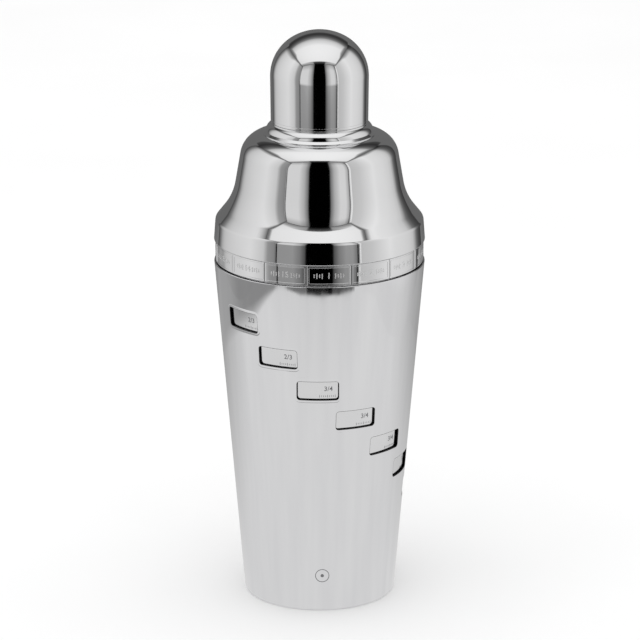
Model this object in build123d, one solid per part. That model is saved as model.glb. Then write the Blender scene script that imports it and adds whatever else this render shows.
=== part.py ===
from build123d import *
import os
from math import atan2, degrees

# A revolving recipe-dial cocktail shaker: a steel cup, an outer sleeve that turns on it, a straining
# lid and a domed cap. Millimetres and degrees. Z is the shaker's own axis, pointing up, and the origin
# is on that axis at the surface the shaker stands on. The front is -Y, and a bearing is the angle
# about Z from the front towards +X.

# Outer sleeve: a thin cone with a turned-in foot.
SLEEVE_TOP_Z = 151.7
SLEEVE_FOOT_Z = 0.2
SLEEVE_RADIUS_AT_ZERO = 33.2
SLEEVE_TAPER = 0.0841
SLEEVE_WALL = 0.6
SLEEVE_CORNER_RADIUS = 1.2
SLEEVE_LIP_RADIUS = 27.5

# Windows: a spiral of rounded rectangles, one column of the dial apart.
DIAL_COLUMNS = 15
WINDOW_COUNT = 8
WINDOW_WIDTH = 18.0
WINDOW_HEIGHT = 8.35
WINDOW_CORNER_RADIUS = 1.2
FIRST_WINDOW_BEARING = -49.0
FIRST_WINDOW_Z = 132.3
WINDOW_DROP = 14.05

# Cup: the same cone inside the sleeve, ending in a straight mouth.
VESSEL_WALL = 0.8
VESSEL_GAP = 0.45
VESSEL_FLOOR_Z = 8.0
VESSEL_CORNER_RADIUS = 4.0
VESSEL_NECK_Z = 150.0
VESSEL_RIM_Z = 161.8

# Band of name plates round the cup's mouth.
COLLAR_RADIUS = 45.4
COLLAR_BOTTOM_Z = 152.2
COLLAR_TOP_Z = 161.2
COLLAR_CHAMFER = 0.3

# Nylon ring that centres the sleeve's mouth.
GLIDE_RING_BOTTOM_Z = 143.0
GLIDE_RING_TOP_Z = 149.0
GLIDE_CLEARANCE = 0.15

# Foot: hub and flange plate, screwed to a tapped plate under the cup.
BASE_RADIUS = 27.0
BASE_FLANGE_THICKNESS = 0.6
BASE_RECESS_RADIUS = 15.0
BASE_RECESS_DEPTH = 0.3
HUB_RADIUS = 16.0
FOOT_PLATE_BOTTOM_Z = 5.0
FOOT_PLATE_RADIUS = 22.0
SCREW_COUNT = 3
SCREW_CIRCLE_RADIUS = 10.0
SCREW_HEAD_RADIUS = 2.8
SCREW_HEAD_HEIGHT = 1.5
SCREW_THREAD_RADIUS = 1.25
SCREW_CLEARANCE_RADIUS = 1.6
SCREW_END_Z = 7.4
SOCKET_RADIUS = 1.1
SOCKET_DEPTH = 0.8

# Bearing between the hub and the sleeve's floor.
FLOOR_PLATE_THICKNESS = 1.0
FLOOR_PLATE_RADIUS = 31.8
BUSH_CLEARANCE = 0.05
BUSH_RADIUS = 18.5
BUSH_BOTTOM_Z = 0.75
BUSH_FLANGE_RADIUS = 21.5
BUSH_TOP_Z = 3.15
WASHER_BOTTOM_Z = 3.2
WASHER_THICKNESS = 0.4
WASHER_INNER_RADIUS = 16.4
WASHER_OUTER_RADIUS = 21.6
SPRING_INNER_RADIUS = 16.8
SPRING_OUTER_RADIUS = 21.0
SPRING_THICKNESS = 0.35

# Lid: a short band, a flared skirt, a near-vertical wall and a domed shoulder.
LID_WALL = 0.8
LID_RIM_Z = 161.4
LID_RIM_RADIUS = 46.0
LID_BAND_TOP = (45.3, 170.55)
LID_FLARE_TOP = (37.65, 180.1)
LID_SHOULDER = (33.05, 206.8)
LID_DOME_SLOPE = 0.2
LID_BAND_FILLET = 2.4
LID_FLARE_FILLET = 26.0
LID_SHOULDER_FILLET = 10.6
SKIRT_RADIUS = 43.65
SKIRT_BOTTOM_Z = 150.0
SKIRT_LEAD_IN = 2.0
GASKET_THICKNESS = 0.5

# Pouring neck and the stepped moulding round its root.
NECK_RADIUS = 19.5
NECK_WALL = 0.8
NECK_BOTTOM_Z = 206.5
NECK_TOP_Z = 232.0
MOULDING_RADIUS = 24.5
MOULDING_STEP = 0.35
MOULDING_RIM_RADIUS = 23.3
MOULDING_RIM_Z = 209.9
MOULDING_RIM_TOP_Z = 210.2
MOULDING_SEAT_RADIUS = 21.1
MOULDING_SHOULDER_Z = 213.0
MOULDING_TOP_Z = 213.7
MOULDING_BULGE = 0.35

# Strainer: a shallow perforated cup across the neck.
STRAINER_BOTTOM_Z = 213.6
STRAINER_THICKNESS = 0.8
STRAINER_UPSTAND = 2.4
STRAINER_HOLE_RADIUS = 1.2
STRAINER_HOLE_SPACING = 3.9
STRAINER_HOLE_RINGS = 4

# Cap: a cylinder closed by a slightly flattened dome.
CAP_RADIUS = 21.3
CAP_MOUTH_RADIUS = 21.1
CAP_WALL = 0.8
CAP_BOTTOM_Z = 213.75
CAP_SPRING_Z = 233.7
CAP_SHOULDER_RADIUS = 19.3
OVERALL_HEIGHT = 253.5
LINER_BOTTOM_Z = 216.0
LINER_TOP_Z = 230.0
LINER_CLEARANCE = 0.1
LINER_CAP_GAP = 0.05

# A cone's wall is this much thicker measured along a radius than square to its face.
SLANT = (1 + SLEEVE_TAPER**2) ** 0.5


def sleeve_radius(height):
    """Outer radius of the sleeve's cone."""
    return SLEEVE_RADIUS_AT_ZERO + SLEEVE_TAPER * height


def vessel_radius(height):
    """Outer radius of the cup's cone."""
    return sleeve_radius(height) - SLEEVE_WALL - VESSEL_GAP


def dome_height(radius):
    """Height of the lid's domed top at a radius."""
    corner_radius, corner_z = LID_SHOULDER
    return corner_z + LID_DOME_SLOPE * (corner_radius - radius)


def turned(outline):
    """Turn a closed outline, drawn as (radius, height), about the shaker's axis."""
    return revolve(Plane.XZ * make_face(outline), Axis.Z)


def turned_points(*points):
    """Turn a straight-sided closed outline of (radius, height) points."""
    return turned(Polyline(*points, close=True))


def turned_sheet(path, thickness):
    """Turn a sheet of one thickness whose outer face follows an open path, sheet on the path's left."""
    return turned(offset(path, amount=thickness, side=Side.LEFT))


def ring(inner_radius, outer_radius, bottom, top):
    """Plain ring of rectangular section."""
    corners = (inner_radius, bottom), (outer_radius, bottom), (outer_radius, top), (inner_radius, top)
    return turned_points(*corners)


def disc(radius, bottom, top):
    """Plain round plate or pin on the axis."""
    return Pos(0, 0, bottom) * Cylinder(radius, top - bottom, align=(Align.CENTER, Align.CENTER, Align.MIN))


def window_cutter(index):
    """Rounded bar that cuts one window of the spiral through the sleeve's wall."""
    bearing = FIRST_WINDOW_BEARING + index * 360 / DIAL_COLUMNS
    height = FIRST_WINDOW_Z - index * WINDOW_DROP
    bar = extrude(RectangleRounded(WINDOW_WIDTH, WINDOW_HEIGHT, WINDOW_CORNER_RADIUS), amount=20)
    facing_front = Pos(0, -sleeve_radius(height) + 10, height) * Rot(90, 0, 0)
    return Rot(0, 0, bearing) * facing_front * bar


def sleeve_shell():
    path = FilletPolyline(
        (SLEEVE_LIP_RADIUS, SLEEVE_FOOT_Z),
        (sleeve_radius(SLEEVE_FOOT_Z), SLEEVE_FOOT_Z),
        (sleeve_radius(SLEEVE_TOP_Z), SLEEVE_TOP_Z),
        radius=SLEEVE_CORNER_RADIUS,
    )
    shell = turned_sheet(path, SLEEVE_WALL)
    for index in range(WINDOW_COUNT):
        shell -= window_cutter(index)
    return shell


def sleeve_floor():
    bottom = SLEEVE_FOOT_Z + SLEEVE_WALL
    return ring(BUSH_RADIUS, FLOOR_PLATE_RADIUS, bottom, bottom + FLOOR_PLATE_THICKNESS)


def hub_bush():
    flange_z = SLEEVE_FOOT_Z + SLEEVE_WALL + FLOOR_PLATE_THICKNESS
    bore = HUB_RADIUS + BUSH_CLEARANCE
    return turned_points(
        (bore, BUSH_BOTTOM_Z),
        (BUSH_RADIUS, BUSH_BOTTOM_Z),
        (BUSH_RADIUS, flange_z),
        (BUSH_FLANGE_RADIUS, flange_z),
        (BUSH_FLANGE_RADIUS, BUSH_TOP_Z),
        (bore, BUSH_TOP_Z),
    )


def thrust_washer():
    top = WASHER_BOTTOM_Z + WASHER_THICKNESS
    return ring(WASHER_INNER_RADIUS, WASHER_OUTER_RADIUS, WASHER_BOTTOM_Z, top)


def friction_spring():
    """Conical disc spring squeezed between the thrust washer and the foot plate."""
    low = WASHER_BOTTOM_Z + WASHER_THICKNESS
    high = FOOT_PLATE_BOTTOM_Z
    return turned_points(
        (SPRING_INNER_RADIUS, high - SPRING_THICKNESS),
        (SPRING_OUTER_RADIUS, low),
        (SPRING_OUTER_RADIUS, low + SPRING_THICKNESS),
        (SPRING_INNER_RADIUS, high),
    )


def screw_places():
    return PolarLocations(SCREW_CIRCLE_RADIUS, SCREW_COUNT, start_angle=90)


def base_plate():
    plate = disc(BASE_RADIUS, 0, BASE_FLANGE_THICKNESS) + disc(HUB_RADIUS, 0, FOOT_PLATE_BOTTOM_Z)
    plate -= disc(BASE_RECESS_RADIUS, 0, BASE_RECESS_DEPTH)
    sink_top = BASE_RECESS_DEPTH + SCREW_HEAD_HEIGHT
    hole = turned_points(
        (0, 0),
        (SCREW_HEAD_RADIUS, 0),
        (SCREW_HEAD_RADIUS, BASE_RECESS_DEPTH),
        (SCREW_CLEARANCE_RADIUS, sink_top),
        (SCREW_CLEARANCE_RADIUS, FOOT_PLATE_BOTTOM_Z),
        (0, FOOT_PLATE_BOTTOM_Z),
    )
    for place in screw_places():
        plate -= place * hole
    return plate


def base_screws():
    """Three countersunk screws with hexagon sockets."""
    head_top = BASE_RECESS_DEPTH + SCREW_HEAD_HEIGHT
    screw = turned_points(
        (0, BASE_RECESS_DEPTH),
        (SCREW_HEAD_RADIUS, BASE_RECESS_DEPTH),
        (SCREW_THREAD_RADIUS, head_top),
        (SCREW_THREAD_RADIUS, SCREW_END_Z),
        (0, SCREW_END_Z),
    )
    socket = Pos(0, 0, BASE_RECESS_DEPTH) * extrude(RegularPolygon(SOCKET_RADIUS, 6), amount=SOCKET_DEPTH)
    screw -= socket
    return Compound(children=[place * screw for place in screw_places()])


def foot_plate():
    plate = disc(FOOT_PLATE_RADIUS, FOOT_PLATE_BOTTOM_Z, VESSEL_FLOOR_Z)
    tapped_hole = disc(SCREW_THREAD_RADIUS, FOOT_PLATE_BOTTOM_Z, VESSEL_FLOOR_Z)
    for place in screw_places():
        plate -= place * tapped_hole
    return plate


def inner_vessel():
    mouth_radius = vessel_radius(VESSEL_NECK_Z)
    path = FilletPolyline(
        (0, VESSEL_FLOOR_Z),
        (vessel_radius(VESSEL_FLOOR_Z), VESSEL_FLOOR_Z),
        (mouth_radius, VESSEL_NECK_Z),
        (mouth_radius, VESSEL_RIM_Z),
        radius=VESSEL_CORNER_RADIUS,
    )
    return turned_sheet(path, VESSEL_WALL)


def name_collar():
    inner = vessel_radius(VESSEL_NECK_Z)
    chamfer_radius = COLLAR_RADIUS - COLLAR_CHAMFER
    return turned_points(
        (inner, COLLAR_BOTTOM_Z),
        (chamfer_radius, COLLAR_BOTTOM_Z),
        (COLLAR_RADIUS, COLLAR_BOTTOM_Z + COLLAR_CHAMFER),
        (COLLAR_RADIUS, COLLAR_TOP_Z - COLLAR_CHAMFER),
        (chamfer_radius, COLLAR_TOP_Z),
        (inner, COLLAR_TOP_Z),
    )


def upper_glide_ring():
    clearance = SLEEVE_WALL * SLANT + GLIDE_CLEARANCE
    return turned_points(
        (vessel_radius(GLIDE_RING_BOTTOM_Z), GLIDE_RING_BOTTOM_Z),
        (sleeve_radius(GLIDE_RING_BOTTOM_Z) - clearance, GLIDE_RING_BOTTOM_Z),
        (sleeve_radius(GLIDE_RING_TOP_Z) - clearance, GLIDE_RING_TOP_Z),
        (vessel_radius(GLIDE_RING_TOP_Z), GLIDE_RING_TOP_Z),
    )


def lid_shell():
    path = FilletPolyline(
        (LID_RIM_RADIUS, LID_RIM_Z),
        LID_BAND_TOP,
        LID_FLARE_TOP,
        LID_SHOULDER,
        (NECK_RADIUS - LID_WALL, dome_height(NECK_RADIUS - LID_WALL)),
        radius=[LID_BAND_FILLET, LID_FLARE_FILLET, LID_SHOULDER_FILLET],
    )
    return turned_sheet(path, LID_WALL) - disc(NECK_RADIUS, LID_SHOULDER[1], NECK_TOP_Z)


def lid_skirt():
    """Plug ring with a flange, brazed inside the lid's rim."""
    inner = SKIRT_RADIUS - LID_WALL
    flange_z = VESSEL_RIM_Z + GASKET_THICKNESS
    flange_radius = LID_RIM_RADIUS - LID_WALL - 0.1
    return turned_points(
        (inner - 0.4, SKIRT_BOTTOM_Z),
        (SKIRT_RADIUS - 0.4, SKIRT_BOTTOM_Z),
        (SKIRT_RADIUS, SKIRT_BOTTOM_Z + SKIRT_LEAD_IN),
        (SKIRT_RADIUS, flange_z),
        (flange_radius, flange_z),
        (flange_radius, flange_z + LID_WALL),
        (inner, flange_z + LID_WALL),
        (inner, SKIRT_BOTTOM_Z + SKIRT_LEAD_IN),
    )


def lid_gasket():
    return ring(SKIRT_RADIUS, LID_RIM_RADIUS - LID_WALL - 0.1, VESSEL_RIM_Z, VESSEL_RIM_Z + GASKET_THICKNESS)


def pour_neck():
    return ring(NECK_RADIUS - NECK_WALL, NECK_RADIUS, NECK_BOTTOM_Z, NECK_TOP_Z)


def neck_moulding():
    """Turned ring with a step, a rim and a rounded shoulder, seated on the lid's dome."""
    step_z = dome_height(MOULDING_RADIUS)
    rim_top = (MOULDING_RIM_RADIUS, MOULDING_RIM_TOP_Z)
    seat_edge = (MOULDING_SEAT_RADIUS, MOULDING_SHOULDER_Z)
    below = Polyline(
        seat_edge,
        (MOULDING_SEAT_RADIUS, MOULDING_TOP_Z),
        (NECK_RADIUS, MOULDING_TOP_Z),
        (NECK_RADIUS, dome_height(NECK_RADIUS)),
        (MOULDING_RADIUS, step_z),
        (MOULDING_RADIUS, step_z + MOULDING_STEP),
        (MOULDING_RIM_RADIUS, MOULDING_RIM_Z),
        rim_top,
    )
    shoulder = SagittaArc(rim_top, seat_edge, -MOULDING_BULGE)
    return turned(below + shoulder)


def strainer_disc():
    """Perforated disc with an upstand that fits the neck."""
    radius = NECK_RADIUS - NECK_WALL
    floor_top = STRAINER_BOTTOM_Z + STRAINER_THICKNESS
    upstand_top = STRAINER_BOTTOM_Z + STRAINER_UPSTAND
    plate = disc(radius, STRAINER_BOTTOM_Z, floor_top)
    plate += ring(radius - STRAINER_THICKNESS, radius, floor_top, upstand_top)
    hole = disc(STRAINER_HOLE_RADIUS, STRAINER_BOTTOM_Z, floor_top)
    plate -= hole
    for ring_number in range(1, STRAINER_HOLE_RINGS + 1):
        circle_radius = ring_number * STRAINER_HOLE_SPACING
        for place in PolarLocations(circle_radius, 6 * ring_number):
            plate -= place * hole
    return plate


def cap_shell():
    """Slightly tapered wall closed by a dome of two tangent arcs, the flatter one on the axis."""
    rise = OVERALL_HEIGHT - CAP_SPRING_Z
    shoulder_offset = CAP_RADIUS - CAP_SHOULDER_RADIUS
    excess = rise - CAP_SHOULDER_RADIUS
    crown_drop = (shoulder_offset**2 - excess**2) / (2 * excess)
    shoulder_turn = degrees(atan2(crown_drop, shoulder_offset))
    wall = Line((CAP_MOUTH_RADIUS, CAP_BOTTOM_Z), (CAP_RADIUS, CAP_SPRING_Z))
    shoulder = JernArc(wall @ 1, (0, 1), CAP_SHOULDER_RADIUS, shoulder_turn)
    crown = JernArc(shoulder @ 1, shoulder % 1, rise + crown_drop, 90 - shoulder_turn)
    return turned_sheet(Wire([wall, shoulder, crown]), CAP_WALL)


def cap_liner():
    inner = NECK_RADIUS + LINER_CLEARANCE
    return ring(inner, CAP_MOUTH_RADIUS - CAP_WALL - LINER_CAP_GAP, LINER_BOTTOM_Z, LINER_TOP_Z)


SUB_PARTS = [
    sleeve_shell,
    sleeve_floor,
    hub_bush,
    thrust_washer,
    friction_spring,
    base_plate,
    base_screws,
    foot_plate,
    inner_vessel,
    name_collar,
    upper_glide_ring,
    lid_shell,
    lid_skirt,
    lid_gasket,
    pour_neck,
    neck_moulding,
    strainer_disc,
    cap_shell,
    cap_liner,
]

os.makedirs("parts", exist_ok=True)
for sub_part in SUB_PARTS:
    export_step(sub_part(), f"parts/{sub_part.__name__}.step")
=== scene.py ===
from math import asin, atan2, ceil, cos, degrees, hypot, pi, radians, sin, tan

import bpy
import numpy as np
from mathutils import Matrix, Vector


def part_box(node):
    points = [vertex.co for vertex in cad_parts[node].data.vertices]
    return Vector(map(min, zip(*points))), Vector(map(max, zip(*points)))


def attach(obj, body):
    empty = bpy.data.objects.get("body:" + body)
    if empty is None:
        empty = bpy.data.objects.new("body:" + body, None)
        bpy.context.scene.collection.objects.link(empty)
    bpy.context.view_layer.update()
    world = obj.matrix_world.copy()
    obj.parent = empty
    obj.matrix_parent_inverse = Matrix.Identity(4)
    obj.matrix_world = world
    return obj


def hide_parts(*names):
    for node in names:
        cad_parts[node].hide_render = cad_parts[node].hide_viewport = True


# A revolving recipe-dial cocktail shaker. Shapes are worked out in millimetres in the CAD frame: Z is the
# shaker's axis, the front is -Y, and a bearing is the angle about Z from the front towards +X.
MM = 0.001

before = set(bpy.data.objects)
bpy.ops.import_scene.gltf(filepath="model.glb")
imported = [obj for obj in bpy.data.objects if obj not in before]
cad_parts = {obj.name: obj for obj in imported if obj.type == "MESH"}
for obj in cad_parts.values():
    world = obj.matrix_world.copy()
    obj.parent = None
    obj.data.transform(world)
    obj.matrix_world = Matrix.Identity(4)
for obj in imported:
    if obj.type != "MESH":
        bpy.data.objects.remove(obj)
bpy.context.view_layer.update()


def low_z(node):
    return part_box(node)[0].z / MM


def high_z(node):
    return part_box(node)[1].z / MM


def outer_radius(node):
    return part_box(node)[1].x / MM


# ---------------------------------------------------------------- sizes shared with the CAD model
SLEEVE_FOOT = low_z("sleeve_shell")
SLEEVE_TOP = high_z("sleeve_shell")
SLEEVE_TAPER = 0.0841
SLEEVE_WALL = 0.6
SLEEVE_FOOT_BORE = 27.5
SLEEVE_FOOT_TOP = 12
SLANT = hypot(1, SLEEVE_TAPER)
SLEEVE_ZERO = outer_radius("sleeve_shell") - SLEEVE_TAPER * SLEEVE_TOP
WINDOW_HALF = (9.0, 4.175)
WINDOW_CORNER = 1.2
WINDOW_BEARING = -49.0
WINDOW_Z = 132.3
WINDOW_DROP = 14.05
WINDOWS = 8
# Loops round a window from the outside in: (distance outside the cut, depth below the sleeve's face).
WINDOW_LOOPS = [
    (1.62, 0.0),
    (1.36, 0.0),
    (1.2, 0.02),
    (1.02, 0.04),
    (0.5, 0.045),
    (0.18, 0.05),
    (0.05, 0.07),
    (0.0, 0.14),
]
COLUMNS = 15
PITCH = 360 // COLUMNS
CUP_RIM = high_z("inner_vessel")
CUP_NECK = 150.0
CUP_FLOOR = low_z("inner_vessel")
CUP_WALL = 0.8
CUP_GAP = 0.45
COLLAR = outer_radius("name_collar")
COLLAR_LOW = low_z("name_collar")
COLLAR_HIGH = high_z("name_collar")
PLATE_BEARING = 5.1
GLIDE_LOW = 143
GLIDE_HIGH = 149
GLIDE_CLEARANCE = 0.15
PLUG = 43.65
PLUG_FOOT = 150
PLUG_BEVEL_TOP = 152
FLANGE = 45.1
FLANGE_LOW = 162.3
FLANGE_HIGH = 163.1
GASKET = 0.5
LID_WALL = 0.8
LID_SHOULDER = (33.05, 206.8)
LID_CROWN_SLOPE = 0.2
NECK = outer_radius("pour_neck")
NECK_LOW = low_z("pour_neck")
NECK_HIGH = high_z("pour_neck")
MOULDING_STEP = 24.5
MOULDING_STEP_HEIGHT = 0.35
MOULDING_RIM = (23.3, 209.9)
MOULDING_RIM_TOP = (23.3, 210.2)
MOULDING_SEAT = (21.1, 213.0)
MOULDING_TOP = 213.7
MOULDING_BULGE = 0.35
CAP_FOOT = low_z("cap_shell")
CAP_TOP = high_z("cap_shell")
CAP_SPRING = 233.7
CAP_FOOT_RADIUS = 21.1
CAP_SPRING_RADIUS = 21.3
CAP_SHOULDER = 19.3
CAP_SHOULDER_CENTRE = 2.0
CAP_WALL = 0.8
LINER = (19.6, 20.25)
LINER_LOW = 216
LINER_HIGH = 230


def sleeve_radius(z):
    return SLEEVE_ZERO + SLEEVE_TAPER * z


def cup_radius(z):
    return sleeve_radius(min(z, CUP_NECK)) - SLEEVE_WALL - CUP_GAP


# ---------------------------------------------------------------- profiles
# A profile is a list of (radius, height, normal radius, normal height) with the outside on its right.
def rounded(points, radii, closed=True, step=9.0):
    """Polyline with a tangent arc at each corner, and its exact normals."""
    count = len(points)
    if not hasattr(radii, "__len__"):
        radii = [radii] * count
    profile = []
    for i, point in enumerate(points):
        p = Vector(point)
        if not closed and i in (0, count - 1):
            near = Vector(points[1 if i == 0 else count - 2])
            t = (near - p if i == 0 else p - near).normalized()
            profile.append((p.x, p.y, t.y, -t.x))
            continue
        a = (p - Vector(points[i - 1])).normalized()
        b = (Vector(points[(i + 1) % count]) - p).normalized()
        turn = atan2(a.x * b.y - a.y * b.x, a.dot(b))
        side = 1 if turn > 0 else -1
        radius = radii[i]
        start = p - a * radius * tan(abs(turn) / 2)
        centre = start - Vector((a.y, -a.x)) * radius * side
        steps = max(2, ceil(degrees(abs(turn)) / step))
        for k in range(steps + 1):
            bend = turn * k / steps
            t = Vector((a.x * cos(bend) - a.y * sin(bend), a.x * sin(bend) + a.y * cos(bend)))
            n = Vector((t.y, -t.x))
            q = centre + n * radius * side
            profile.append((q.x, q.y, n.x, n.y))
    return profile


def quarter(centre, radius, first, second, steps=4):
    """Quarter circle from direction first to direction second."""
    arc = []
    for k in range(steps + 1):
        turn = pi / 2 * k / steps
        n = first * cos(turn) + second * sin(turn)
        arc.append((centre.x + n.x * radius, centre.y + n.y * radius, n.x, n.y))
    return arc


def sheet(path, wall, edge):
    """Section of a bent sheet whose outer face is the path. An end on the axis is left open."""
    inner = [(r - nr * wall, z - nz * wall, -nr, -nz) for r, z, nr, nz in reversed(path)]
    section = list(path)
    r, z, nr, nz = path[-1]
    if r > 1e-6:
        n = Vector((nr, nz))
        t = Vector((-nz, nr))
        back = Vector((r, z)) - t * edge
        section[-1] = (back.x, back.y, nr, nz)
        section += quarter(back - n * edge, edge, n, t)[1:]
        section += quarter(back - n * (wall - edge), edge, t, -n)
        inner = inner[1:]
    r, z, nr, nz = path[0]
    if r > 1e-6:
        n = Vector((nr, nz))
        t = Vector((-nz, nr))
        back = Vector((r, z)) + t * edge
        section[0] = (back.x, back.y, nr, nz)
        inner = inner[:-1]
        inner += quarter(back - n * (wall - edge), edge, -n, -t)
        inner += quarter(back - n * edge, edge, -t, n)[:-1]
    return section + inner


def block(points, radius=0.12):
    """Solid section with slightly broken corners."""
    return rounded(points, radius)


# ---------------------------------------------------------------- meshes
def make_piece(name, body, nodes, verts, faces, marks, finishes, normals=None):
    """Mesh object in metres that rides on a body. marks gives each face's finish."""
    mesh = bpy.data.meshes.new(name)
    used = sorted({i for face in faces for i in face})
    place = {old: new for new, old in enumerate(used)}
    mesh.from_pydata([[c * MM for c in verts[i]] for i in used], [], [[place[i] for i in f] for f in faces])
    for finish in finishes:
        mesh.materials.append(finish)
    mesh.polygons.foreach_set("material_index", marks)
    mesh.polygons.foreach_set("use_smooth", [True] * len(faces))
    if normals is not None:
        mesh.normals_split_custom_set_from_vertices([normals[i] for i in used])
    mesh.update()
    piece = bpy.data.objects.new(name, mesh)
    bpy.context.scene.collection.objects.link(piece)
    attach(piece, body)
    if nodes:
        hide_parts(*nodes)
    return piece


def spun_point(radius, bearing, z):
    return (radius * sin(bearing), -radius * cos(bearing), z)


def face_normals(verts, faces, count):
    """Area-weighted vertex normals."""
    points = np.array(verts, float)
    total = np.zeros((count, 3))
    for size in {len(f) for f in faces}:
        ids = np.array([f for f in faces if len(f) == size])
        p = points[ids]
        n = np.cross(p[:, 1] - p[:, 0], p[:, 2] - p[:, 0])
        if size == 4:
            n = n + np.cross(p[:, 2] - p[:, 0], p[:, 3] - p[:, 0])
        for k in range(size):
            np.add.at(total, ids[:, k], n)
    length = np.linalg.norm(total, axis=1)
    return total / np.maximum(length, 1e-12)[:, None]


def lathe(name, body, nodes, profile, finishes, zone=None, segments=216):
    """Turns a profile about the axis. Points on the axis become one vertex."""
    distinct = profile[:1]
    for before, point in zip(profile, profile[1:]):
        if hypot(point[0] - before[0], point[1] - before[1]) > 1e-5:
            distinct.append(point)
    profile = distinct
    verts = []
    normals = []
    rows = []
    for r, z, nr, nz in profile:
        if abs(r) < 1e-6:
            rows.append([len(verts)] * segments)
            verts.append((0, 0, z))
            normals.append((0, 0, 1 if nz > 0 else -1))
            continue
        rows.append(list(range(len(verts), len(verts) + segments)))
        for j in range(segments):
            bearing = 2 * pi * j / segments
            verts.append(spun_point(r, bearing, z))
            normals.append(spun_point(nr, bearing, nz))
    faces = []
    marks = []
    for i in range(len(profile)):
        a = rows[i]
        b = rows[(i + 1) % len(rows)]
        if a[0] == a[1] and b[0] == b[1]:
            continue
        mark = zone(profile[i], profile[(i + 1) % len(rows)]) if zone else 0
        for j in range(segments):
            k = (j + 1) % segments
            face = [a[j], a[k], b[k], b[j]]
            if a[j] == a[k]:
                face = [a[j], b[k], b[j]]
            if b[j] == b[k]:
                face = [a[j], a[k], b[j]]
            faces.append(face)
            marks.append(mark)
    return make_piece(name, body, nodes, verts, faces, marks, finishes, normals)


def rectangle_loop(half_width, half_height, corner, across, up, bend=3):
    """Rounded rectangle from its lower left corner's middle, anticlockwise: across and up steps a side."""
    loop = []
    for side, (steps, long_half, short_half) in enumerate(
        ((across, half_width, half_height), (up, half_height, half_width)) * 2
    ):
        turn = side * pi / 2
        straight = steps - 2 * bend
        local = []
        for k in range(bend):
            a = pi / 4 + pi / 4 * k / bend
            local.append((-long_half + corner - corner * cos(a), -short_half + corner - corner * sin(a)))
        for k in range(straight):
            local.append((-(long_half - corner) + 2 * (long_half - corner) * k / straight, -short_half))
        for k in range(bend):
            a = pi / 4 * k / bend
            local.append((long_half - corner + corner * sin(a), -short_half + corner - corner * cos(a)))
        loop += [(x * cos(turn) - y * sin(turn), x * sin(turn) + y * cos(turn)) for x, y in local]
    return loop


def join_loops(faces, marks, outer, inner, mark):
    """Quads between two loops of the same count; outer lies outside inner, seen from the front."""
    count = len(outer)
    for k in range(count):
        n = (k + 1) % count
        faces.append([outer[k], outer[n], inner[n], inner[k]])
        marks.append(mark)


# ---------------------------------------------------------------- materials
def new_material(name):
    material = bpy.data.materials.new(name)
    material.use_nodes = True
    nodes = material.node_tree.nodes
    links = material.node_tree.links
    return material, nodes, links, nodes["Principled BSDF"]


def spread(nodes, links, source, low, high):
    """Maps a 0 to 1 value on to a range."""
    ramp = nodes.new("ShaderNodeMapRange")
    ramp.inputs["From Min"].default_value = 0.25
    ramp.inputs["From Max"].default_value = 0.75
    ramp.inputs["To Min"].default_value = low
    ramp.inputs["To Max"].default_value = high
    links.new(source, ramp.inputs["Value"])
    return ramp.outputs["Result"]


def tinted(nodes, links, source, dark, light):
    """Blends two colours by a 0 to 1 value."""
    ramp = nodes.new("ShaderNodeValToRGB")
    ramp.color_ramp.elements[0].position = 0.3
    ramp.color_ramp.elements[0].color = (*dark, 1)
    ramp.color_ramp.elements[1].position = 0.7
    ramp.color_ramp.elements[1].color = (*light, 1)
    links.new(source, ramp.inputs["Fac"])
    return ramp.outputs["Color"]


def grain(nodes, links, scale, stretch, detail=4.0, turned=False):
    """Noise over the piece's own coordinates, stretched, or over radius and height for turning marks."""
    place = nodes.new("ShaderNodeTexCoord").outputs["Object"]
    if turned:
        split = nodes.new("ShaderNodeSeparateXYZ")
        links.new(place, split.inputs[0])
        flat = nodes.new("ShaderNodeCombineXYZ")
        links.new(split.outputs["X"], flat.inputs["X"])
        links.new(split.outputs["Y"], flat.inputs["Y"])
        radius = nodes.new("ShaderNodeVectorMath")
        radius.operation = "LENGTH"
        links.new(flat.outputs[0], radius.inputs[0])
        joined = nodes.new("ShaderNodeCombineXYZ")
        links.new(radius.outputs["Value"], joined.inputs["X"])
        links.new(split.outputs["Z"], joined.inputs["Z"])
        place = joined.outputs[0]
    mapping = nodes.new("ShaderNodeMapping")
    mapping.inputs["Scale"].default_value = stretch
    links.new(place, mapping.inputs["Vector"])
    noise = nodes.new("ShaderNodeTexNoise")
    noise.inputs["Scale"].default_value = scale
    noise.inputs["Detail"].default_value = detail
    noise.inputs["Roughness"].default_value = 0.55
    links.new(mapping.outputs["Vector"], noise.inputs["Vector"])
    return noise.outputs["Fac"]


def bumped(nodes, links, shader, height, strength, distance):
    bump = nodes.new("ShaderNodeBump")
    bump.inputs["Strength"].default_value = strength
    bump.inputs["Distance"].default_value = distance
    links.new(height, bump.inputs["Height"])
    links.new(bump.outputs["Normal"], shader.inputs["Normal"])


def metal(
    name,
    dark,
    light,
    smooth,
    rough,
    scale,
    stretch,
    turned=False,
    strength=0.0,
    distance=0.0,
    tone=(1, 1, 1),
):
    """Metal with tone and roughness that vary along its own grain."""
    material, nodes, links, shader = new_material(name)
    shader.inputs["Metallic"].default_value = 1.0
    lay = grain(nodes, links, scale, stretch, turned=turned)
    patches = grain(nodes, links, 40.0, tone, detail=2.0)
    links.new(tinted(nodes, links, patches, dark, light), shader.inputs["Base Color"])
    links.new(spread(nodes, links, lay, smooth, rough), shader.inputs["Roughness"])
    if strength:
        bumped(nodes, links, shader, lay, strength, distance)
    return material


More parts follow.
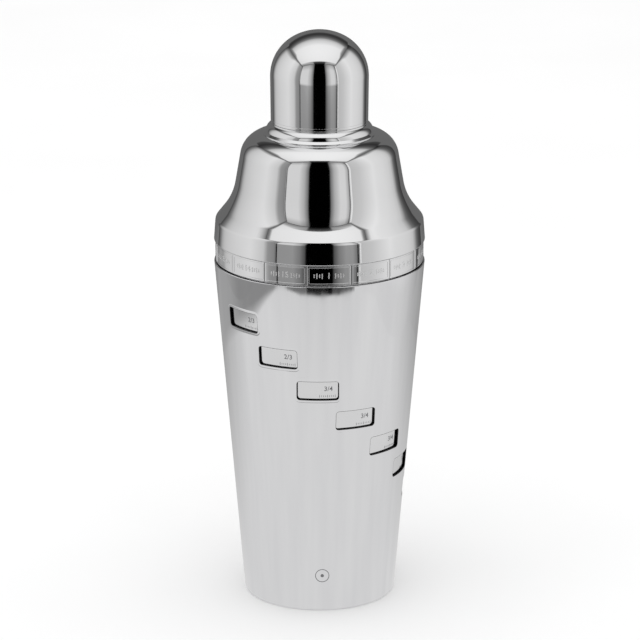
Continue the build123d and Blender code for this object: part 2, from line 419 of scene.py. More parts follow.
def plastic(name, dark, light, smooth, rough, scale, strength):
    """Moulded plastic or rubber with a faint mottle and a fine surface."""
    material, nodes, links, shader = new_material(name)
    mottle = grain(nodes, links, scale, (1, 1, 1), detail=3.0)
    links.new(tinted(nodes, links, mottle, dark, light), shader.inputs["Base Color"])
    links.new(spread(nodes, links, mottle, smooth, rough), shader.inputs["Roughness"])
    bumped(nodes, links, shader, grain(nodes, links, scale * 12, (1, 1, 1)), strength, 0.00005)
    return material


PLATE = metal("plate_mirror", (0.86, 0.86, 0.865), (0.90, 0.90, 0.905), 0.025, 0.06, 420, (1, 1, 1))
SLEEVE = metal(
    "plate_sleeve", (0.85, 0.85, 0.862), (0.90, 0.90, 0.908), 0.02, 0.05, 260, (1, 1, 0.03), tone=(4, 4, 0.1)
)
# Sleeve's inner face in darker grey: painted shade inside the gap between the sleeve and the cup, with a real
# turned grain.
LINING_SHADE = metal(
    "sleeve_lining_painted_shade", (0.30, 0.30, 0.31), (0.38, 0.38, 0.39), 0.25, 0.4, 900, (1, 1, 1), turned=True
)
# Window cut edges, near black: painted shade of the dark gap between the sleeve and the cup, not the metal's
# own colour.
CUT_SHADE = metal("cut_edge_painted_shade", (0.012, 0.012, 0.013), (0.03, 0.03, 0.03), 0.25, 0.45, 2200, (1, 1, 1))
CUP = metal("cup_satin", (0.84, 0.84, 0.845), (0.89, 0.89, 0.895), 0.04, 0.09, 2600, (1, 1, 1), turned=True)
INSIDE = metal(
    "cup_brushed", (0.72, 0.72, 0.725), (0.80, 0.80, 0.805), 0.22, 0.36, 3200, (1, 1, 1), True, 0.25, 0.00004
)
ALUMINIUM = metal(
    "turned_plate", (0.70, 0.71, 0.72), (0.78, 0.79, 0.80), 0.18, 0.32, 2400, (1, 1, 1), True, 0.35, 0.00005
)
FASTENER = metal(
    "fastener", (0.46, 0.46, 0.47), (0.56, 0.56, 0.57), 0.2, 0.35, 1500, (1, 1, 1), False, 0.2, 0.00003
)
FROST = metal(
    "etched_mark", (0.82, 0.82, 0.82), (0.92, 0.92, 0.92), 0.45, 0.62, 5000, (1, 1, 1), False, 0.5, 0.00002
)
DARK_MARK = metal("etched_dark", (0.20, 0.20, 0.21), (0.30, 0.30, 0.31), 0.35, 0.5, 5000, (1, 1, 1))
NYLON = plastic("nylon", (0.80, 0.79, 0.75), (0.86, 0.85, 0.82), 0.38, 0.5, 90, 0.15)
SILICONE = plastic("silicone", (0.62, 0.63, 0.64), (0.70, 0.71, 0.72), 0.5, 0.65, 120, 0.1)


# ---------------------------------------------------------------- sleeve with its spiral of windows
def build_sleeve():
    wall = SLEEVE_WALL * SLANT
    band_rows = 10
    rise = WINDOW_DROP / band_rows
    band_low = WINDOW_Z - (WINDOWS - 1) * WINDOW_DROP - WINDOW_DROP / 2
    band_high = WINDOW_Z + WINDOW_DROP / 2
    foot = rounded(
        [
            (SLEEVE_FOOT_BORE, SLEEVE_FOOT),
            (sleeve_radius(SLEEVE_FOOT), SLEEVE_FOOT),
            (sleeve_radius(SLEEVE_FOOT_TOP), SLEEVE_FOOT_TOP),
        ],
        [0, 1.2, 0],
        closed=False,
    )[:-1]
    slope = (1 / SLANT, -SLEEVE_TAPER / SLANT)
    heights = list(np.linspace(foot[-1][1], band_low, 9)[1:-1])
    heights += [band_low + rise * i for i in range(band_rows * WINDOWS + 1)]
    heights += list(np.linspace(band_high, SLEEVE_TOP, 6)[1:])
    wall_path = [(sleeve_radius(z), z, *slope) for z in heights]
    section = sheet(foot + wall_path, SLEEVE_WALL, 0.28)
    first_outer = len(foot) + 7
    outer_rows = first_outer + np.arange(band_rows * WINDOWS + 1)
    columns = 240
    pitch_columns = columns // COLUMNS
    verts = []
    normals = []
    rows = []
    for r, z, nr, nz in section:
        rows.append(len(verts))
        for j in range(columns):
            bearing = radians(WINDOW_BEARING + 360 / columns * j)
            verts.append(spun_point(r, bearing, z))
            normals.append(spun_point(nr, bearing, nz))
    # The inner face's rows run down again, so each window's rows there are found by their height.
    inner_rows = {}
    for i, (r, z, nr, nz) in enumerate(section):
        if nr < -0.9:
            k = round((z - band_low - SLEEVE_WALL * SLEEVE_TAPER / SLANT) / rise)
            height = band_low + rise * k + SLEEVE_WALL * SLEEVE_TAPER / SLANT
            if 0 <= k <= band_rows * WINDOWS and abs(height - z) < 1e-4:
                inner_rows[k] = i
    faces = []
    marks = []
    skipped = set()
    across = 26
    for w in range(WINDOWS):
        low = (WINDOWS - 1 - w) * band_rows
        for step in range(band_rows):
            for c in range(-across // 2, across // 2):
                column = (pitch_columns * w + c) % columns
                skipped.add((int(outer_rows[low + step]), column))
                skipped.add((inner_rows[low + step + 1], column))
    for i in range(len(section)):
        n = (i + 1) % len(section)
        # Finish 1 is the inner face, darkened as painted shade of the gap.
        mark = 1 if section[i][2] < -0.5 and section[n][2] < -0.5 else 0
        if section[i][3] > 0.5 and section[i][1] < 20:
            mark = 1
        for j in range(columns):
            if (i, j) in skipped:
                continue
            k = (j + 1) % columns
            faces.append([rows[i] + j, rows[i] + k, rows[n] + k, rows[n] + j])
            marks.append(mark)

    def border(low_row, high_row, row_ids, window):
        """Grid vertices round a window's cell, anticlockwise from the lower left."""
        left = pitch_columns * window - across // 2
        right = left + across
        ring = [rows[row_ids[low_row]] + (left + c) % columns for c in range(across)]
        ring += [rows[row_ids[low_row + s]] + right % columns for s in range(band_rows)]
        ring += [rows[row_ids[high_row]] + (right - c) % columns for c in range(across)]
        ring += [rows[row_ids[high_row - s]] + left % columns for s in range(band_rows)]
        return ring

    outer_ids = {k: int(outer_rows[k]) for k in range(band_rows * WINDOWS + 1)}
    pressed = set()
    for w in range(WINDOWS):
        bearing = radians(WINDOW_BEARING + PITCH * w)
        centre = WINDOW_Z - WINDOW_DROP * w
        low = (WINDOWS - 1 - w) * band_rows

        def ring_at(outset, depth, exact):
            ids = []
            loop = rectangle_loop(
                WINDOW_HALF[0] + outset, WINDOW_HALF[1] + outset, WINDOW_CORNER + outset, across, band_rows
            )
            for s, dz in loop:
                z = centre + dz
                r = sleeve_radius(z) - depth
                turn = bearing + asin(s / r)
                ids.append(len(verts))
                verts.append(spun_point(r, turn, z))
                side = 1 if depth < 0.5 else -1
                normals.append(spun_point(side * slope[0], turn, side * slope[1]))
                if not exact:
                    pressed.add(ids[-1])
            return ids

        def blended(ring, edge, share, depth):
            ids = []
            for a, b in zip(ring, edge):
                pa = verts[a]
                pb = verts[b]
                ta = atan2(pa[0], -pa[1])
                tb = atan2(pb[0], -pb[1])
                gap = (tb - ta + pi) % (2 * pi) - pi
                z = pa[2] + (pb[2] - pa[2]) * share
                turn = ta + gap * share
                ids.append(len(verts))
                verts.append(spun_point(sleeve_radius(z) - depth, turn, z))
                side = 1 if depth < 0.5 else -1
                normals.append(spun_point(side * slope[0], turn, side * slope[1]))
            return ids

        edge = border(low, low + band_rows, outer_ids, w)
        loops = [ring_at(outset, depth, outset > 1.3) for outset, depth in WINDOW_LOOPS]
        chain = [edge] + [blended(loops[0], edge, share, 0.0) for share in (0.66, 0.33)] + loops
        # Finish 2, the near-black painted shade of the gap, goes on the last rounds into each cut and on the
        # cut's faces.
        for k in range(len(chain) - 1):
            join_loops(faces, marks, chain[k], chain[k + 1], 2 if k >= len(chain) - 3 else 0)
        inner_edge = border(low, low + band_rows, inner_rows, w)
        back = [ring_at(0.0, wall - 0.12, False), ring_at(0.1, wall, False), ring_at(1.6, wall, True)]
        join_loops(faces, marks, chain[-1], back[0], 2)
        join_loops(faces, marks, back[0], back[1], 2)
        join_loops(faces, marks, back[1], back[2], 1)
        between = [blended(back[2], inner_edge, share, wall) for share in (0.4, 0.75)]
        inner_chain = [back[2], *between, inner_edge]
        for k in range(len(inner_chain) - 1):
            join_loops(faces, marks, inner_chain[k], inner_chain[k + 1], 1)
    measured = face_normals(verts, faces, len(verts))
    for i in pressed:
        normals[i] = tuple(measured[i])
    make_piece(
        "sleeve_shell_skin",
        "sleeve",
        ["sleeve_shell"],
        verts,
        faces,
        marks,
        [SLEEVE, LINING_SHADE, CUT_SHADE],
        normals,
    )


build_sleeve()


# ---------------------------------------------------------------- cup and its collar of plates
def cup_zone(a, b):
    return 1 if (a[2] + b[2] < -0.2 or (a[3] + b[3] > 1.2 and a[1] < 20)) else 0


lathe(
    "cup_shell",
    "vessel",
    ["inner_vessel"],
    sheet(
        rounded(
            [
                (0, CUP_FLOOR),
                (cup_radius(CUP_FLOOR), CUP_FLOOR),
                (cup_radius(CUP_NECK), CUP_NECK),
                (cup_radius(CUP_NECK), CUP_RIM),
            ],
            [0, 4.0, 4.0, 0],
            closed=False,
        ),
        CUP_WALL,
        0.35,
    ),
    [CUP, INSIDE],
    cup_zone,
)


def build_collar():
    """Band with a shallow groove between its fifteen plates."""
    bore = cup_radius(CUP_NECK)
    section = rounded(
        [
            (bore, COLLAR_LOW),
            (COLLAR - 0.3, COLLAR_LOW),
            (COLLAR, COLLAR_LOW + 0.3),
            (COLLAR, COLLAR_HIGH - 0.3),
            (COLLAR - 0.3, COLLAR_HIGH),
            (bore, COLLAR_HIGH),
        ],
        [0.1, 0.15, 0.15, 0.15, 0.15, 0.1],
        step=20,
    )
    bearings = []
    for plate in range(COLUMNS):
        groove = PLATE_BEARING - PITCH / 2 + PITCH * plate
        for reach, depth in ((-0.42, 0), (-0.34, 0), (-0.2, 0.16), (0.2, 0.16), (0.34, 0), (0.42, 0)):
            bearings.append((groove + degrees(reach / COLLAR), depth, abs(reach) < 0.4))
        bearings += [(groove + 1.5 * k, 0, False) for k in range(1, 16)]
    verts = []
    normals = []
    cut = []
    for r, z, nr, nz in section:
        for bearing, depth, carved in bearings:
            turn = radians(bearing)
            sunk = depth if nr > 0.3 else 0
            verts.append(spun_point(r - sunk, turn, z))
            normals.append(spun_point(nr, turn, nz))
            cut.append(carved and nr > 0.3)
    count = len(bearings)
    faces = []
    for i in range(len(section)):
        n = (i + 1) % len(section)
        for j in range(count):
            k = (j + 1) % count
            faces.append([i * count + j, i * count + k, n * count + k, n * count + j])
    measured = face_normals(verts, faces, len(verts))
    normals = [tuple(measured[i]) if cut[i] else normals[i] for i in range(len(verts))]
    marks = [0] * len(faces)
    make_piece(
        "collar_band", "vessel", ["name_collar"], verts, faces, marks, [PLATE], normals
    )


build_collar()


# ---------------------------------------------------------------- raised and etched marks
class Marks:
    """Thin closed solids laid on a cone of the shaker, gathered into one mesh."""

    def __init__(self, radius_at):
        self.radius_at = radius_at
        self.verts = []
        self.faces = []

    def place(self, bearing, s, z, lift):
        r = self.radius_at(z)
        return spun_point(r + lift, radians(bearing) + s / r, z)

    def strip(self, loops, bearing, z):
        """Closed band through loops of (across, up, lift), the first joined to the last."""
        base = len(self.verts)
        count = len(loops[0])
        for loop in loops:
            self.verts += [self.place(bearing, s, z + dz, lift) for s, dz, lift in loop]
        for i in range(len(loops)):
            n = (i + 1) % len(loops)
            for j in range(count):
                k = (j + 1) % count
                quad = [i * count + j, i * count + k, n * count + k, n * count + j]
                self.faces.append([base + corner for corner in quad])

    def frame(self, bearing, z, half_width, half_height, width, lift):
        loops = []
        outer_side = ((0, -0.08), (0, 0.0), (-0.07, lift))
        inner_side = ((-width + 0.07, lift), (-width, 0.0), (-width, -0.08))
        for outset, height in outer_side + inner_side:
            ring = rectangle_loop(half_width + outset, half_height + outset, 0.45 + outset, 22, 10)
            loops.append([(s, dz, height) for s, dz in ring])
        self.strip(loops, bearing, z)

    def bar(self, bearing, s, z, width, height, lift):
        base = len(self.verts)
        for dz, h in ((-height / 2, -0.06), (height / 2, -0.06), (height / 2, lift), (-height / 2, lift)):
            for ds in (-width / 2, 0, width / 2):
                self.verts.append(self.place(bearing, s + ds, z + dz, h))
        for i in range(4):
            n = (i + 1) % 4
            for j in range(2):
                quad = [3 * i + j, 3 * n + j, 3 * n + j + 1, 3 * i + j + 1]
                self.faces.append([base + corner for corner in quad])
        self.faces.append([base, base + 3, base + 6, base + 9][::-1])
        self.faces.append([base + 2, base + 5, base + 8, base + 11])

    def ring(self, bearing, z, radius, width, lift, steps=40):
        loops = []
        for r, h in ((radius, -0.06), (radius, lift), (radius - width, lift), (radius - width, -0.06)):
            circle = [(r * sin(-2 * pi * k / steps), -r * cos(2 * pi * k / steps), h) for k in range(steps)]
            loops.append(circle[::-1])
        self.strip(loops, bearing, z)

    def text(self, words, size, bearing, s, z, lift, weight):
        curve = bpy.data.curves.new("numeral", "FONT")
        curve.body = words
        curve.size = size
        curve.align_x = "CENTER"
        curve.align_y = "CENTER"
        curve.extrude = 0.5
        curve.offset = weight
        curve.resolution_u = 3
        carrier = bpy.data.objects.new("numeral", curve)
        bpy.context.scene.collection.objects.link(carrier)
        graph = bpy.context.evaluated_depsgraph_get()
        mesh = bpy.data.meshes.new_from_object(carrier.evaluated_get(graph))
        base = len(self.verts)
        for v in mesh.vertices:
            self.verts.append(self.place(bearing, s + v.co.x, z + v.co.y, lift if v.co.z > 0 else -0.06))
        self.faces += [[base + i for i in p.vertices] for p in mesh.polygons]
        bpy.data.objects.remove(carrier)
        bpy.data.meshes.remove(mesh)
        bpy.data.curves.remove(curve)

    def finish(self, name, body, slot, material):
        piece = make_piece(name, body, [], self.verts, self.faces, [0] * len(self.faces), [material])
        piece.data.polygons.foreach_set("use_smooth", [False] * len(self.faces))
        weld = piece.modifiers.new("weld", "WELD")
        weld.merge_threshold = 1e-6
        return piece


def build_collar_marks():
    """Dial numbers one to fifteen between scale ticks, each in a thin frame."""
    frames = Marks(lambda z: COLLAR)
    figures = Marks(lambda z: COLLAR)
    middle = (COLLAR_LOW + COLLAR_HIGH) / 2
    for plate in range(COLUMNS):
        bearing = PLATE_BEARING + PITCH * plate
        frames.frame(bearing, middle, half_width=8.75, half_height=3.75, width=0.34, lift=0.07)
        figures.text(str(plate + 1), 3.5, bearing, 0, middle, lift=0.05, weight=0.09)
        for tick in range(1, 5):
            for side in (-1, 1):
                height = 2.3 if tick % 2 else 1.5
                figures.bar(bearing, side * (1.7 + 1.15 * tick), middle, width=0.5, height=height, lift=0.05)
    frames.finish("collar_frames", "vessel", "polished_plate", PLATE)
    figures.finish("collar_figures", "vessel", "polished_plate", FROST)


build_collar_marks()


def build_cup_marks():
    """Measures on the cup, one for each column and window height."""
    marks = Marks(cup_radius)
    measures = ("1/2", "1", "3/4", "1/4", "2", "1/3", "1 1/2", "2/3")
    for column in range(COLUMNS):
        bearing = PLATE_BEARING + PITCH * column
        for row in range(WINDOWS):
            z = WINDOW_Z - WINDOW_DROP * row
            measure = measures[(column * 3 + row * 5) % len(measures)]
            marks.text(measure, 3.0, bearing, 0.2, z + 0.7, lift=0.02, weight=0.02)
            for tick in range(9):
                length = 1.2 if tick % 4 == 0 else 0.7
                marks.bar(bearing, -3.6 + 0.85 * tick, z - 2.6, width=0.2, height=length, lift=0.02)
    marks.finish("cup_measures", "vessel", "cup_steel", DARK_MARK)


build_cup_marks()


def build_index():
    """Plain ring and dot near the foot of the sleeve, which the dial is set against."""
    marks = Marks(sleeve_radius)
    bearing = 2.0
    z = 17.0
    marks.ring(bearing, z, radius=3.1, width=0.3, lift=0.03)
    marks.ring(bearing, z, radius=0.75, width=0.7, lift=0.03)
    marks.finish("sleeve_index", "sleeve", "polished_plate", DARK_MARK)


build_index()

lathe(
    "glide_ring",
    "vessel",
    ["upper_glide_ring"],
    block(
        [
            (cup_radius(GLIDE_LOW), GLIDE_LOW),
            (sleeve_radius(GLIDE_LOW) - SLEEVE_WALL * SLANT - GLIDE_CLEARANCE, GLIDE_LOW),
            (sleeve_radius(GLIDE_HIGH) - SLEEVE_WALL * SLANT - GLIDE_CLEARANCE, GLIDE_HIGH),
            (cup_radius(GLIDE_HIGH), GLIDE_HIGH),
        ]
    ),
    [NYLON],
)


# ---------------------------------------------------------------- lid
def dome_height(radius):
    """Height of the lid's crown, which rises a little from the shoulder to the neck."""
    return LID_SHOULDER[1] + LID_CROWN_SLOPE * (LID_SHOULDER[0] - radius)


def lid_zone(a, b):
    return 1 if a[2] + b[2] < -0.3 or a[3] + b[3] < -0.9 else 0


lathe(
    "lid_bell",
    "lid",
    ["lid_shell"],
    sheet(
        rounded(
            [
                (46.0, low_z("lid_shell")),
                (45.3, 170.55),
                (37.65, 180.1),
                LID_SHOULDER,
                (NECK, dome_height(NECK)),
            ],
            [0, 2.4, 26.0, 10.6, 0],
            closed=False,
            step=2.5,
        ),
        LID_WALL,
        0.3,
    ),
    [PLATE, INSIDE],
    lid_zone,
    segments=288,
)
lathe(
    "lid_plug",
    "lid",
    ["lid_skirt"],
    block(
        [
            (PLUG - 1.2, PLUG_FOOT),
            (PLUG - 0.4, PLUG_FOOT),
            (PLUG, PLUG_BEVEL_TOP),
            (PLUG, FLANGE_LOW),
            (FLANGE, FLANGE_LOW),
            (FLANGE, FLANGE_HIGH),
            (PLUG - LID_WALL, FLANGE_HIGH),
            (PLUG - LID_WALL, PLUG_BEVEL_TOP),
        ],
        [0.2, 0.3, 0.5, 0.1, 0.1, 0.1, 0.2, 0.5],
    ),
    [INSIDE],
)
lathe(
    "lid_seal",
    "lid",
    ["lid_gasket"],
    block([(PLUG, CUP_RIM), (FLANGE, CUP_RIM), (FLANGE, CUP_RIM + GASKET), (PLUG, CUP_RIM + GASKET)], 0.15),
    [SILICONE],
)
lathe(
    "neck_tube",
    "lid",
    ["pour_neck"],
    block(
        [(NECK - LID_WALL, NECK_LOW), (NECK, NECK_LOW), (NECK, NECK_HIGH), (NECK - LID_WALL, NECK_HIGH)],
        [0.1, 0.1, 0.38, 0.38],
    ),
    [PLATE, INSIDE],
    lambda a, b: 1 if a[2] + b[2] < -1.5 else 0,
)


def shoulder_corner():
    """The corner whose rounding makes the moulding's convex shoulder, and the radius of that rounding."""
    foot = Vector(MOULDING_RIM_TOP)
    half = (Vector(MOULDING_SEAT) - foot) / 2
    outward = Vector((half.y, -half.x)).normalized()
    radius = (half.length_squared + MOULDING_BULGE**2) / (2 * MOULDING_BULGE)
    tangent_of_half_turn = half.length / (radius**2 - half.length_squared) ** 0.5
    corner = foot + half + outward * half.length * tangent_of_half_turn
    return tuple(corner), 0.95 * radius


SHOULDER_CORNER, SHOULDER_RADIUS = shoulder_corner()
STEP_Z = dome_height(MOULDING_STEP)
lathe(
    "neck_ring",
    "lid",
    ["neck_moulding"],
    rounded(
        [
            (NECK, dome_height(NECK)),
            (MOULDING_STEP, STEP_Z),
            (MOULDING_STEP, STEP_Z + MOULDING_STEP_HEIGHT),
            MOULDING_RIM,
            MOULDING_RIM_TOP,
            SHOULDER_CORNER,
            MOULDING_SEAT,
            (MOULDING_SEAT[0], MOULDING_TOP),
            (NECK, MOULDING_TOP),
        ],
        [0.05, 0.08, 0.12, 0.25, 0.5, SHOULDER_RADIUS, 0.1, 0.14, 0.05],
    ),
    [PLATE],
    segments=240,
)


# ---------------------------------------------------------------- cap
def cap_path():
    """Tapered wall with a fine line above its rim, and a dome of two tangent arcs."""
    line_z = CAP_FOOT + 1.15
    foot = rounded(
        [
            (CAP_FOOT_RADIUS, CAP_FOOT),
            (21.11, line_z - 0.16),
            (21.02, line_z),
            (21.115, line_z + 0.16),
            (CAP_SPRING_RADIUS, CAP_SPRING),
        ],
        [0, 0.06, 0.05, 0.06, 0],
        closed=False,
        step=20,
    )[:-1]
    rise = CAP_TOP - CAP_SPRING
    flat = rise - CAP_SHOULDER
    drop = (CAP_SHOULDER_CENTRE**2 - flat**2) / (2 * flat)
    turn = atan2(drop, CAP_SHOULDER_CENTRE)
    path = list(foot)
    for k in range(19):
        a = turn * k / 18
        r = CAP_SHOULDER_CENTRE + CAP_SHOULDER * cos(a)
        path.append((r, CAP_SPRING + CAP_SHOULDER * sin(a), cos(a), sin(a)))
    reach = rise + drop
    for k in range(1, 15):
        a = turn + (pi / 2 - turn) * k / 14
        path.append((reach * cos(a) if k < 14 else 0.0, CAP_SPRING - drop + reach * sin(a), cos(a), sin(a)))
    return path


lathe(
    "cap_dome",
    "cap",
    ["cap_shell"],
    sheet(cap_path(), CAP_WALL, 0.25),
    [PLATE, INSIDE],
    lambda a, b: 1 if a[2] + b[2] < -0.5 or a[3] + b[3] < -0.9 else 0,
    segments=240,
)
lathe(
    "cap_lining",
    "cap",
    ["cap_liner"],
    block(
        [(LINER[0], LINER_LOW), (LINER[1], LINER_LOW), (LINER[1], LINER_HIGH), (LINER[0], LINER_HIGH)], 0.15
    ),
    [NYLON],
)

# ---------------------------------------------------------------- CAD nodes that stay as they are
KEPT = {
    "base_plate": ALUMINIUM,
    "base_screws": FASTENER,
    "foot_plate": CUP,
    "friction_spring": FASTENER,
    "thrust_washer": FASTENER,
    "sleeve_floor": SLEEVE,
    "hub_bush": NYLON,
    "strainer_disc": INSIDE,
}
for node, material in KEPT.items():
    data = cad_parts[node].data
    data.materials.clear()
    data.materials.append(material)


# ---------------------------------------------------------------- studio
SCREEN_GAMMA = 2.2
PLATE_REFLECTANCE = 0.88


def linear(level):
    """Light that the plate shows as a 0 to 255 screen brightness."""
    return (max(level, 0) / 255) ** SCREEN_GAMMA / PLATE_REFLECTANCE


def step_between(value, points):
    """Piecewise linear curve through (value, level) points."""
    return float(np.interp(value, [p[0] for p in points], [p[1] for p in points]))


def glow_material():
    material = bpy.data.materials.new("studio_glow")
    material.use_nodes = True
    nodes = material.node_tree.nodes
    nodes.clear()
    level = nodes.new("ShaderNodeAttribute")
    level.attribute_name = "glow"
    emission = nodes.new("ShaderNodeEmission")
    out = nodes.new("ShaderNodeOutputMaterial")
    material.node_tree.links.new(level.outputs["Color"], emission.inputs["Color"])
    material.node_tree.links.new(emission.outputs[0], out.inputs["Surface"])
    return material


GLOW = glow_material()


def light_panel(name, point, us, vs, level):
    """Diffuser cloth seen only in reflections; level gives its brightness at (u, v)."""
    verts = [tuple(c * MM for c in point(u, v)) for u in us for v in vs]
    faces = []
    for i in range(len(us) - 1):
        for j in range(len(vs) - 1):
            a = i * len(vs) + j
            faces.append([a, a + len(vs), a + len(vs) + 1, a + 1])
    mesh = bpy.data.meshes.new(name)
    mesh.from_pydata(verts, [], faces)
    colours = mesh.color_attributes.new("glow", "FLOAT_COLOR", "POINT")
    values = []
    for u in us:
        for v in vs:
            light = linear(level(u, v))
            values += [light, light, light, 1]
    colours.data.foreach_set("color", values)
    mesh.materials.append(GLOW)
    panel = bpy.data.objects.new(name, mesh)
    bpy.context.scene.collection.objects.link(panel)
    panel.visible_camera = False
    panel.visible_diffuse = False
    panel.visible_transmission = False
    panel.visible_shadow = False


LEFT = -370.0
RIGHT = 320.0
FRONT = -350.0
ROOF = 560.0
LEFT_END = 440.0
RIGHT_END = 400.0
ROOF_END = 600.0
BACK = 640.0
SLOT_HALF_WIDTH = 78.0


def front_foot(x):
    """Dark gap between the table and the front cloth, black across the slot."""
    left = [(-230, 112), (-84, 100), (-SLOT_HALF_WIDTH, 10)]
    right = [(SLOT_HALF_WIDTH, 10), (84, 70), (230, 80)]
    return step_between(x, left + right)


def front_level(x, z):
    """Brightness of the front cloth, with its dark slot and the seams towards the side cloths."""
    if z < 5.5:
        return front_foot(x)
    side = step_between(abs(x), [(80, 4), (92, 110), (125, 168), (180, 205), (400, 205)])
    seam = 30 if z < 140 else 95
    left_seam = [(LEFT, 150), (-362, 150), (-358, seam), (-346, seam), (-342, 232), (-334, 232), (-328, 205)]
    side = min(side, step_between(x, left_seam))
    side = min(side, step_between(x, [(240, 205), (286, 160), (290, seam), (302, seam), (306, 238)]))
    low = [(0, 0.66), (110, 0.68), (140, 0.72), (158, 0.88), (185, 1.0)]
    height = step_between(z, low + [(430, 1.0), (ROOF, 0.78)])
    return side * height


def seam_width(y):
    """Width of the dull strip beside the seams between the roof and the side cloths."""
    return step_between(y, [(-250, 22), (-100, 40), (0, 78)])


def left_level(y, z):
    """Brightness of the left cloth: it fades away towards the back and is dull at its foot."""
    if z < 30:
        return step_between(y, [(50, 131), (170, 148)])
    front = [(0, 120), (20, 135), (90, 148), (135, 200), (260, 222), (400, 212)]
    back = [(474, 205), (538, 197), (578, 189), (627, 167), (685, 121), (761, 78), (790, 70)]
    height = step_between(z, [(44, 0.95), (ROOF - seam_width(y), 1.0), (ROOF, 0.5)])
    return step_between(y - FRONT, front + back) * height


def right_level(y, z):
    """Brightness of the right cloth, which fades away sooner."""
    if z < 30:
        return step_between(y, [(-150, 204), (0, 203), (120, 190), (200, 176), (300, 156)])
    front = [(0, 240), (10, 240), (14, 186), (130, 196), (280, 226), (315, 220), (389, 215)]
    back = [(431, 210), (460, 207), (511, 194), (544, 162), (585, 108), (634, 80), (703, 64), (750, 64)]
    height = step_between(z, [(44, 0.96), (ROOF - seam_width(y), 1.0), (ROOF, 0.5)])
    return step_between(y - FRONT, front + back) * height


def roof_level(x, y):
    """Brightness of the roof: dull at its seams, dark at the back, and a little brighter in the middle."""
    front = [(0, 60), (14, 130), (50, 160), (90, 225), (400, 228)]
    back = [(449, 211), (489, 200), (537, 170), (567, 120), (640, 77), (751, 50), (899, 70), (950, 90)]
    base = step_between(y - FRONT, front + back)
    if y - FRONT < 80:
        base = min(base, step_between(abs(x), [(84, 10 + 1.0 * (y - FRONT)), (105, 140), (400, 255)]))
    seam = seam_width(y)
    base = min(base, step_between(x, [(LEFT, 90), (LEFT + 0.55 * seam, 135), (LEFT + seam, 228)]))
    base = min(base, step_between(x, [(RIGHT - seam, 228), (RIGHT - 0.55 * seam, 135), (RIGHT, 90)]))
    return base * (1.04 - 0.1 * (hypot(x, min(y, 50) + 100) / 400) ** 2)


def table_edge(bearing):
    """Radius at which the lit part of the table ends, and how softly it ends."""
    front = [(-36, 360), (-20, 352), (0, 350), (20, 352.5), (36, 362)]
    radius = step_between(bearing, front + [(47, 365), (61, 357), (78, 344)])
    softness = step_between(bearing, [(-36, 1.5), (48, 1.5), (80, 14)])
    return radius, softness


def table_level(bearing, radius):
    """Brightness of the table; bearing is in degrees from the front, positive to the left."""
    x = -radius * sin(radians(bearing))
    y = -radius * cos(radians(bearing))
    front = [(FRONT, 201), (-200, 207), (0, 206)]
    back = [(150, 184), (300, 160), (400, 122), (BACK, 98)]
    inside = step_between(y, front + back)
    inside = min(inside, step_between(x, [(320, 207), (350, 180), (900, 120)]))
    right = [(-180, 150), (-150, 152), (-125, 172), (-108, 190), (-90, 202), (-38, 204), (-36, 120)]
    left = [(36, 150), (38, 184), (44, 184), (49, 131), (90, 133), (115, 152), (150, 155), (180, 150)]
    outside = min(step_between(bearing, right + left), step_between(y, [(0, 255), (300, 168), (BACK, 98)]))
    if abs(bearing) < 35:
        outside = front_foot(x)
    edge, softness = table_edge(bearing)
    return step_between(radius, [(edge - softness, inside), (edge + softness, outside)])


def fine(low, high, step):
    return list(np.linspace(low, high, max(2, int(round((high - low) / step)) + 1)))


front_heights = [0.0, 4.5, 6.0, *fine(20, ROOF, 14)]
wall_heights = [0.0, 24.0, *fine(36, ROOF, 14)]
light_panel("tent_front", lambda x, z: (x, FRONT, z), fine(LEFT, RIGHT, 4), front_heights, front_level)
light_panel("tent_left", lambda y, z: (LEFT, y, z), fine(FRONT, LEFT_END, 6), wall_heights, left_level)
light_panel("tent_right", lambda y, z: (RIGHT, y, z), fine(FRONT, RIGHT_END, 6), wall_heights, right_level)
roof_depths = fine(FRONT, ROOF_END, 8)
light_panel("tent_roof", lambda x, y: (x, y, ROOF), fine(LEFT, RIGHT, 6), roof_depths, roof_level)
light_panel(
    "tent_back", lambda x, z: (x, BACK, z), fine(-1400, 1400, 100), fine(0, 1600, 100), lambda x, z: 100
)
near_radii = [5.0, *fine(20, 320, 20), *fine(325, 340, 5), *fine(342, 368, 2)]
far_radii = [*fine(375, 700, 15), 900.0, 1500.0]
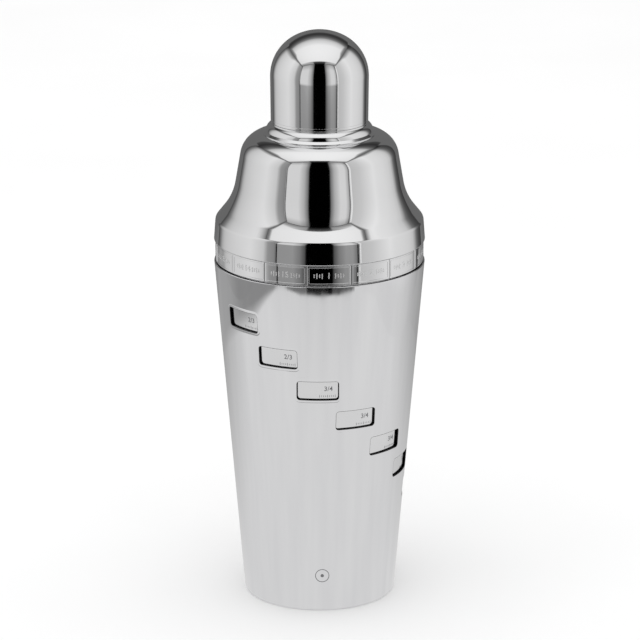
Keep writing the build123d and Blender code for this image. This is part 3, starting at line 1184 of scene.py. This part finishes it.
light_panel(
    "tent_table",
    lambda bearing, r: (-r * sin(radians(bearing)), -r * cos(radians(bearing)), 0.05),
    fine(-180, 180, 1),
    near_radii + far_radii,
    table_level,
)


def build_floor():
    """Round sheet of pale paper, in metres."""
    mesh = bpy.data.meshes.new("floor")
    steps = 64
    radius = 9
    ring = [(radius * cos(2 * pi * k / steps), radius * sin(2 * pi * k / steps), 0) for k in range(steps)]
    mesh.from_pydata(ring, [], [list(range(steps))])
    material, nodes, links, shader = new_material("floor_paper")
    tone = grain(nodes, links, 6.0, (1, 1, 1), detail=2.0)
    links.new(tinted(nodes, links, tone, (0.93, 0.93, 0.93), (0.95, 0.95, 0.95)), shader.inputs["Base Color"])
    shader.inputs["Roughness"].default_value = 0.9
    shader.inputs["Specular IOR Level"].default_value = 0.1
    mesh.materials.append(material)
    floor = bpy.data.objects.new("floor", mesh)
    bpy.context.scene.collection.objects.link(floor)
    floor.visible_glossy = False


build_floor()

world = bpy.data.worlds.new("studio")
world.use_nodes = True
world.node_tree.nodes["Background"].inputs["Color"].default_value = (1.0, 1.0, 1.0, 1)
world.node_tree.nodes["Background"].inputs["Strength"].default_value = 1.05
bpy.context.scene.world = world

lamp = bpy.data.lights.new("soft_overhead", "AREA")
lamp.shape = "RECTANGLE"
lamp.size = 1.2
lamp.size_y = 1.2
lamp.energy = 2.0
lamp_object = bpy.data.objects.new("soft_overhead", lamp)
bpy.context.scene.collection.objects.link(lamp_object)
lamp_object.location = (-0.3, -0.5, 1.4)
lamp_object.rotation_euler = (Vector((0, 0, 0.1)) - lamp_object.location).to_track_quat("-Z", "Y").to_euler()
lamp_object.visible_camera = False
lamp_object.visible_glossy = False

camera = bpy.data.cameras.new("camera")
camera.sensor_width = 36
camera.lens = 214
camera.shift_x = 0.0008
camera.clip_start = 0.05
camera.clip_end = 40
camera_object = bpy.data.objects.new("camera", camera)
bpy.context.scene.collection.objects.link(camera_object)
camera_object.location = (0, -1.6, 0.604)
camera_object.rotation_euler = (radians(90 - 16.71), 0, 0)
bpy.context.scene.camera = camera_object
bpy.context.scene.view_settings.view_transform = "Standard"
